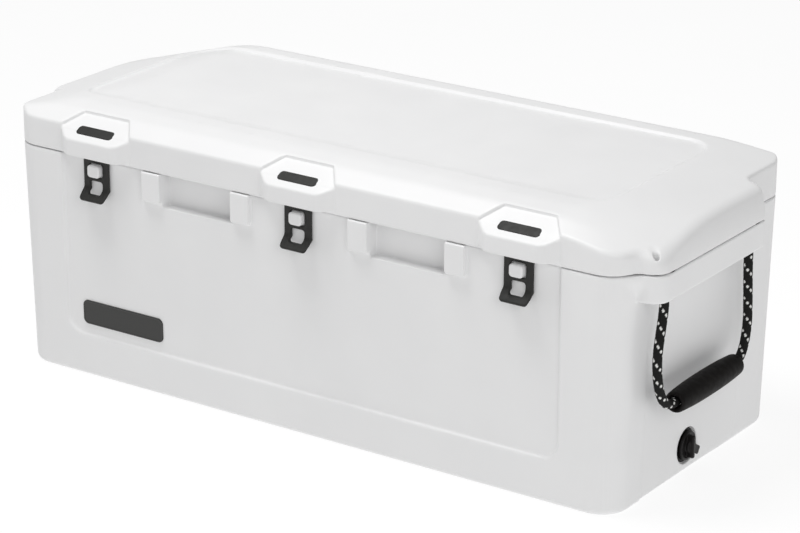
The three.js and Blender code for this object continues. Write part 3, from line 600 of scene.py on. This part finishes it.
def lidField(x, y, z):
    sideX = np.abs(x) - body["length"] / 2
    sideY = np.abs(y) - body["depth"] / 2
    plan = roundMax(sideX, sideY, body["corner"])
    for side in ends.values():
        plan = smoothMin(plan, ledgePlan(side * x, side * y, lid["ledgeCorner"]), lid["ledgeEase"])

    # Upper surface: planes from front to back, then the two end slopes, eased into each other.
    crown = leaning(y, z, *reversed(lid["bevel"]))
    for plane, ease in (("rim", 2.5), ("top", 1.5), ("backSlope", 8)):
        crown = smoothMax(crown, leaning(y, z, *reversed(lid[plane])), ease)
    crown = smoothMax(crown, leaning(np.abs(x), z, *reversed(lid["endSlope"])), 5)
    atX, atY, atZ = lid["cornerCut"]["at"]
    wayX, wayY = lid["cornerCut"]["way"]
    slope = lid["cornerCut"]["slope"]
    for side in ends.values():
        fall = (side * x - atX) * wayX + (side * y - atY) * wayY
        cutPlane = (z - atZ + slope * fall) / math.hypot(1, slope)
        crown = smoothMax(crown, cutPlane, lid["cornerCut"]["ease"])

    # Sunk top with a crisp rim at its ends and back, fading out towards the front.
    rimX = np.maximum(lid["dishX"][0] - x, x - lid["dishX"][1])
    inward = -roundMax(rimX, np.maximum(lid["dishY"][0] - y, y - lid["dishY"][1]), lid["dishCorner"])
    depth = lid["dishDepth"] * ramp(inward, 0, lid["dishEdge"]) * ramp(y, -160, -118)
    crown = crown + depth

    shoulder = leaning(np.abs(x), z, *reversed(lid["shoulder"]))
    ease = 3.5 + 6 * ramp(np.abs(x), 520, 545)
    for side in ends.values():
        ease = ease + 5 * ramp(side * x, 450, 525) * ramp(-side * y, 120, 175)
    block = smoothMax(plan, shoulder, ease)
    block = smoothMax(block, crown, ease)

    # Latch pads: a sloping flat on each, standing out of the front face and sunk into the bevel.
    for at in stations.values():
        off = np.abs(x - at)
        rise = lid["padSlope"]
        flat = (z - lid["padTop"] - (y - lid["padFront"]) * rise) / math.hypot(1, rise)
        a, b, c = lid["padHalf"]
        side = roundMax(leaning(off, y, (a, lid["padFront"]), (b, -232)),
                        leaning(off, y, (b, -232), (c, lid["padBack"])), 3)
        side = np.maximum(roundMax(side, lid["padFront"] - y, 5), y - lid["padBack"])
        block = carve(block, np.maximum(roundMax(side, -flat, 1), y + 190), 1)
        pad = roundMax(roundMax(side, flat, 2.2), lid["padLift"] - z, 2)
        block = roundMin(block, pad, 2.5)

    block = roundMax(block, lid["under"] - z, 1.8)
    plug = roundMax(sideX + lid["plugIn"], sideY + lid["plugIn"], lid["plugCorner"])
    plug = roundMax(plug, lid["under"] - lid["plugDepth"] - z, lid["plugEdge"])
    block = roundMin(block, np.maximum(plug, z - lid["plugTop"]), 3)
    seal = lid["seal"]
    groove = np.abs(roundMax(np.abs(x) - seal["x"], np.abs(y) - seal["y"], seal["corner"])) - seal["half"]
    block = carve(block, np.maximum(groove, z - seal["top"]), 0.8)
    lockX, lockY, lockR = body["padlock"]
    mouth = lid["lockMouth"]
    for side in ends.values():
        away = np.hypot(side * x - lockX, side * y - lockY)
        block = carve(block, away - lockR, 1)
        cone = (away - mouth["radius"] - (z - mouth["height"]) * mouth["flare"]) / mouth["lean"]
        block = carve(block, cone, mouth["edge"])
    return np.maximum(block, -hingeNotch(x, y, z, hinge["neighbour"]))


def makeLid():
    xs = gridLines(-572, 573, 1.6, 8, [(at - 68, at + 68) for at in stations.values()]
                   + [(-569, -500), (500, 569), (-486, -474), (436, 450), (-345, -315), (315, 345)])
    ys = gridLines(-254, 240, 1.6, 8, [(-251, -196), (168, 178), (196, 236)]
                   + mirrored(208, 196, 107, 180, 180, reach=8) + [(-150, -138), (-192, -168), (168, 192)])
    zs = gridLines(330, 427, 1.5, 3.5, [(332, 343), (349, 360), (374, 424)])
    piece = fieldPiece("chest_lid", lidField, (xs, ys, zs))
    wear(piece, whiteShell, "lid", "shell", "lid_shell")
    print("lid:", len(piece.data.polygons), "faces")


makeLid()


# Hinge barrels, two on the body and one on the lid at each hinge.

def makeBarrels():
    step = hinge["barrel"] + hinge["gap"]
    for side in (-1, 1):
        for name, rider, shift in (("outer", "root", -step), ("middle", "lid", 0), ("inner", "root", step)):
            at = side * hinge["at"] + shift

            def barrel(x, y, z):
                tube = rodField(y, z, hinge["y"], hinge["z"], hinge["radius"])
                leaf = np.maximum(slab(z, hinge["z"] - hinge["leaf"], hinge["z"] + hinge["leaf"]),
                                  slab(y, hinge["leafFront"], hinge["y"]))
                joined = roundMin(tube, leaf, hinge["leafFillet"])
                whole = roundMax(joined, np.abs(x - at) - hinge["barrel"] / 2, hinge["edge"])
                return np.maximum(whole, -rodField(y, z, hinge["y"], hinge["z"], hinge["bore"]))

            lines = evenLines((at - 17, 218, 338), (at + 17, 246, 363), 0.9)
            tag = "left" if side < 0 else "right"
            piece = fieldPiece(f"hinge_{tag}_barrel_{name}", barrel, lines)
            wear(piece, whiteShell, rider, "shell")


makeBarrels()
print("hinges made")


# Latches: T-shaped head set in the lid, perforated strap, and the knob it hooks over.

latch = {
    "plane": -230, "thick": 5, "width": 46.6, "tipWidth": 43,
    "pivot": 348.7, "bend": 305, "out": 15.5, "down": 15,
    "knob": (22, 19), "knobAt": 334.1, "knobFront": -240, "hole": 1.6,
    "lowerHole": (23.5, 19.5), "lowerTop": 317.5,
    "head": (68, 18), "headY": -230, "headCorner": 7, "headProud": 0.9, "headDeep": 6, "neckBottom": 351.6,
    "plateHalf": (22, 13), "plateFront": -227.35, "plateBack": -224.5,
}


def strapField(at):
    def field(x, y, z):
        off = np.abs(x - at)
        half = latch["thick"] / 2
        tip = (latch["plane"] - latch["out"], latch["bend"] - latch["down"])
        beyond = np.maximum(np.maximum(latch["bend"] - z, z - latch["pivot"]), 0)
        upper = np.hypot(y - latch["plane"], beyond)
        dy, dz = tip[0] - latch["plane"], tip[1] - latch["bend"]
        reach = math.hypot(dy, dz)
        t = np.clip(((y - latch["plane"]) * dy + (z - latch["bend"]) * dz) / reach**2, 0, 1)
        tab = np.hypot(y - latch["plane"] - t * dy, z - latch["bend"] - t * dz)
        sheet = smoothMin(upper, tab, 3) - half
        narrow = latch["width"] / 2 - (latch["width"] - latch["tipWidth"]) / 2 * ramp(-z, -300, -288)
        past = ((y - tip[0]) * dy + (z - tip[1]) * dz) / reach
        strap = roundMax(sheet, roundMax(off - narrow, past - 1, 4.5), 1.6)
        w, h = latch["knob"][0] / 2 + latch["hole"], latch["knob"][1] / 2 + latch["hole"]
        upperHole = roundMax(off - w, np.abs(z - latch["knobAt"]) - h, 5.5)
        lowerW, lowerH = latch["lowerHole"]
        lowerHole = roundMax(off - lowerW / 2, np.abs(z - latch["lowerTop"] + lowerH / 2) - lowerH / 2, 4)
        return carve(carve(strap, upperHole, 1.2), lowerHole, 1.2)
    return field


def headField(at):
    def field(x, y, z):
        slope = lid["padSlope"]
        lean = math.hypot(1, slope)
        above = (z - lid["padTop"] - (y - lid["padFront"]) * slope) / lean
        headZ = lid["padTop"] + (latch["headY"] - lid["padFront"]) * slope
        across = (y - latch["headY"] + (z - headZ) * slope) / lean
        plan = roundMax(np.abs(x - at) - latch["head"][0] / 2, np.abs(across) - latch["head"][1] / 2,
                        latch["headCorner"])
        cap = roundMax(roundMax(plan, above - latch["headProud"], 1.4), -above - latch["headDeep"], 1)
        neck = np.maximum(np.abs(y - latch["plane"]) - latch["thick"] / 2,
                          np.abs(x - at) - latch["width"] / 2)
        neck = np.maximum(neck, np.maximum(latch["neckBottom"] - z, above + 3))
        return np.minimum(cap, neck)
    return field


def keeperField(at):
    def field(x, y, z):
        w, h = latch["knob"][0] / 2, latch["knob"][1] / 2
        flare = 1.2 * ramp(y, -232, -226)
        knob = roundMax(np.abs(x - at) - w - flare, np.abs(z - latch["knobAt"]) - h - flare, 5.5)
        knob = roundMax(knob, latch["knobFront"] - y, 2.6)
        plateX, plateZ = latch["plateHalf"]
        plate = roundMax(np.abs(x - at) - plateX, np.abs(z - latch["knobAt"]) - plateZ, 4)
        plate = roundMax(plate, latch["plateFront"] - y, 0.5)
        return np.maximum(roundMin(knob, plate, 1.2), y - latch["plateBack"])
    return field


def makeLatches():
    for name, at in stations.items():
        lines = evenLines((at - 26, -252, 284), (at + 26, -224, 355), 0.8)
        strap = fieldPiece(f"strap_{name}", strapField(at), lines)
        wear(strap, latchRubber, f"latch_{name}", "latch_rubber", f"latch_strap_{name}")
        lines = evenLines((at - 36, -246, 349), (at + 36, -214, 406), 0.9)
        head = fieldPiece(f"head_{name}", headField(at), lines)
        wear(head, latchRubber, "lid", "latch_rubber", f"latch_head_{name}")
        lines = evenLines((at - 25, -243, 318), (at + 25, -222, 350), 0.8)
        knob = fieldPiece(f"knob_{name}", keeperField(at), lines)
        wear(knob, whiteShell, "root", "shell", f"keeper_{name}")


makeLatches()
print("latches made")


# Grips on the ropes: a soft moulded tube, fuller in the middle, with a dished mouth at each end.

grip = {
    "length": 176, "radius": 18.5, "endRadius": 15.2, "mouth": 8.4, "at": (551, -30, 145),
    "sides": 72, "rings": 60, "edge": 3.2,
    "mouthSteps": ((0.2, 4), (1.6, 1.5), (5, -0.2), (24, -0.9)),  # how far in, how much wider
}


def gripPiece(name, side):
    half = grip["length"] / 2
    outer = []
    for u in np.linspace(-1, 1, grip["rings"]):
        belly = grip["endRadius"] + (grip["radius"] - grip["endRadius"]) * (1 - abs(u) ** 2.4)
        edge = grip["edge"] * max(0, abs(u) - 0.955) / 0.045
        outer.append((u * half, belly - edge**2 / grip["edge"] * 0.62))
    mouth = [(half - back, grip["mouth"] + wider) for back, wider in grip["mouthSteps"]]
    inner = mouth + [(-s, r) for s, r in reversed(mouth)]
    profile = np.array(outer + inner)
    turn = np.linspace(0, 2 * math.pi, grip["sides"], endpoint=False)
    x, y, z = grip["at"]
    points = [(side * x + r * math.cos(t), side * y + s, z + r * math.sin(t))
              for s, r in profile for t in turn]
    rows, count = len(profile), grip["sides"]
    faces = []
    for i in range(rows):
        for j in range(count):
            a, b = i * count, (i + 1) % rows * count
            k = (j + 1) % count
            faces.append((a + j, a + k, b + k, b + j))
    piece = meshFrom(f"grip_shape_{name}", np.array(points) * mm, faces)
    soft = piece.modifiers.new("soft", "SUBSURF")
    soft.levels = soft.render_levels = 1
    applyAll(piece)
    return wear(piece, gripRubber, f"handle_{name}", "grip", f"grip_{name}")


for endName, endSide in ends.items():
    gripPiece(endName, endSide)
    cordPiece, ropeRun = ropePiece(endName, endSide)
    cordPiece.data.materials.append(ropeBraid)
    print("rope", endName, "length", round(ropeRun), "mm")


# Drain plug, with a wing to turn it by and a pull lug at its rim.

drain = {
    "head": 21.5, "start": 516.5, "thick": 5.5, "rim": 4, "dish": 4.3,
    "wing": 9, "wingHalf": (3.6, 17.5), "wingFoot": 3, "hub": 8.5, "hubTop": 9.5,
    "lugTurn": -math.pi / 6, "lugReach": (14, 33), "lugHalf": 6.5, "lugX": (519.5, 523.8),
    "flange": 25.5, "flangeX": (511.8, 515.2), "tube": 13, "tubeX": (478, 514), "bore": 10,
    "rib": 23.2, "ribHalf": 0.8, "ribX": (514, 516),
}


def plugField(x, y, z):
    atY, atZ = body["drain"]
    away = np.hypot(y - atY, z - atZ)
    start, thick, foot = drain["start"], drain["thick"], drain["wingFoot"]
    disc = roundMax(away - drain["head"], slab(x, start, start + thick), 1.8)
    dish = np.maximum(away - drain["head"] + drain["rim"], -(x - start - drain["dish"]))
    wingY, wingZ = drain["wingHalf"]
    wing = roundMax(np.abs(y - atY) - wingY, np.abs(z - atZ) - wingZ, 3)
    wing = roundMax(wing, slab(x, start + foot, start + thick + drain["wing"]), 2.4)
    hub = roundMax(away - drain["hub"], slab(x, start + foot, start + drain["hubTop"]), 2)
    turn = drain["lugTurn"]
    along = (y - atY) * math.cos(turn) + (z - atZ) * math.sin(turn)
    across = -(y - atY) * math.sin(turn) + (z - atZ) * math.cos(turn)
    lug = roundMax(slab(along, *drain["lugReach"]), np.abs(across) - drain["lugHalf"], 3)
    lug = roundMax(lug, slab(x, *drain["lugX"]), 1.6)
    whole = roundMin(carve(disc, dish, 1), roundMin(wing, hub, 2.5), 1.5)
    return roundMin(whole, lug, 1.5)


def bushingField(x, y, z):
    atY, atZ = body["drain"]
    away = np.hypot(y - atY, z - atZ)
    flange = roundMax(away - drain["flange"], slab(x, *drain["flangeX"]), 1.2)
    tube = np.maximum(away - drain["tube"], slab(x, *drain["tubeX"]))
    rib = roundMax(np.abs(away - drain["rib"]) - drain["ribHalf"], slab(x, *drain["ribX"]), 0.5)
    return np.maximum(np.minimum(np.minimum(flange, tube), rib), drain["bore"] - away)


def makeDrain():
    y, z = body["drain"]
    plugLines = evenLines((512, y - 36, z - 36), (535, y + 36, z + 28), 0.8)
    plug = fieldPiece("drain_plug_head", plugField, plugLines)
    wear(plug, blackPlastic, "drain_screw", "black_plastic", "drain_plug")
    ringLines = evenLines((475, y - 29, z - 29), (520, y + 29, z + 29), 0.9)
    ring = fieldPiece("drain_flange", bushingField, ringLines)
    wear(ring, blackPlastic, "root", "black_plastic", "drain_bushing")


makeDrain()


# Badge: a blank plate with a raised border and dished face.

badge = {"x": (-406, -254), "z": (84, 122), "corner": 9, "front": -229, "back": -225.5, "border": 2.2}


def badgeField(x, y, z):
    edge = roundMax(slab(x, *badge["x"]), slab(z, *badge["z"]), badge["corner"])
    depth = y - body["sideTaper"] * footShare(z)
    plate = roundMax(edge, slab(depth, badge["front"], badge["back"]), 0.9)
    face = np.maximum(edge + badge["border"], depth - badge["front"] - 0.5)
    return carve(plate, face, 0.4)


def makeBadge():
    (left, right), (bottom, top) = badge["x"], badge["z"]
    lines = evenLines((left - 3, -231, bottom - 3), (right + 3, -220, top + 3), 0.7)
    wear(fieldPiece("badge_plate", badgeField, lines), badgeFace, "root", "badge", "badge")


makeBadge()
print("drain and badge made")


# CAD pieces that show or lie inside keep their shape and take a finish.

carriedOver = {
    "body_foam": foamFill, "lid_foam": foamFill, "lid_gasket": sealRubber, "drain_washer": sealRubber,
    "body_filling_plug": whiteShell, "lid_filling_plug": whiteShell,
    "hinge_pin_left": steel, "hinge_pin_right": steel,
}
for endName in ends:
    for place in ("front", "back"):
        carriedOver[f"rope_end_{endName}_{place}"] = ropeBraid
for stationName in stations:
    for letter in "ab":
        carriedOver[f"keeper_screw_{stationName}_{letter}"] = steel
for node, material in carriedOver.items():
    holder = frame["nodes"][node]
    holder.data.materials.clear()
    holder.data.materials.append(material)


# Studio: pale floor, bright surroundings, one big soft light above and one off the right front corner.

studio = {"surround": 0.34, "top": 64, "side": 15, "floor": 0.14, "drift": 0.02, "glow": 0.87}


def areaLight(name, place, size, power):
    data = bpy.data.lights.new(name, "AREA")
    data.shape = "DISK"
    data.size = size
    data.energy = power
    lamp = bpy.data.objects.new(name, data)
    scene.collection.objects.link(lamp)
    lamp.location = place
    lamp.rotation_mode = "QUATERNION"
    lamp.rotation_quaternion = (Vector((0, 0, 0.2)) - Vector(place)).to_track_quat("-Z", "Y")


def makeStudio():
    world = bpy.data.worlds.new("studio")
    scene.world = world
    world.use_nodes = True
    world.node_tree.nodes["Background"].inputs["Color"].default_value = (1, 1, 1, 1)
    world.node_tree.nodes["Background"].inputs["Strength"].default_value = studio["surround"]
    scene.view_settings.view_transform = "Standard"
    areaLight("top light", (-0.6, -0.6, 3.2), 1.5, studio["top"])
    areaLight("side light", (2.3, -1.7, 1.5), 1.4, studio["side"])
    floor = meshFrom("floor", [(-9, -9, 0), (9, -9, 0), (9, 9, 0), (-9, 9, 0)], [(0, 1, 2, 3)], False)
    material, tree, shader = newMaterial("pale floor", (studio["floor"],) * 3, 0.9)
    shader.inputs["Emission Color"].default_value = (1, 1, 1, 1)
    shader.inputs["Emission Strength"].default_value = studio["glow"]
    pale, dark = (studio["floor"],) * 3, (studio["floor"] - studio["drift"],) * 3
    tree.links.new(mixOf(tree, noiseOf(tree, 3), pale, dark), shader.inputs["Base Color"])
    floor.data.materials.append(material)


makeStudio()
print("studio made")
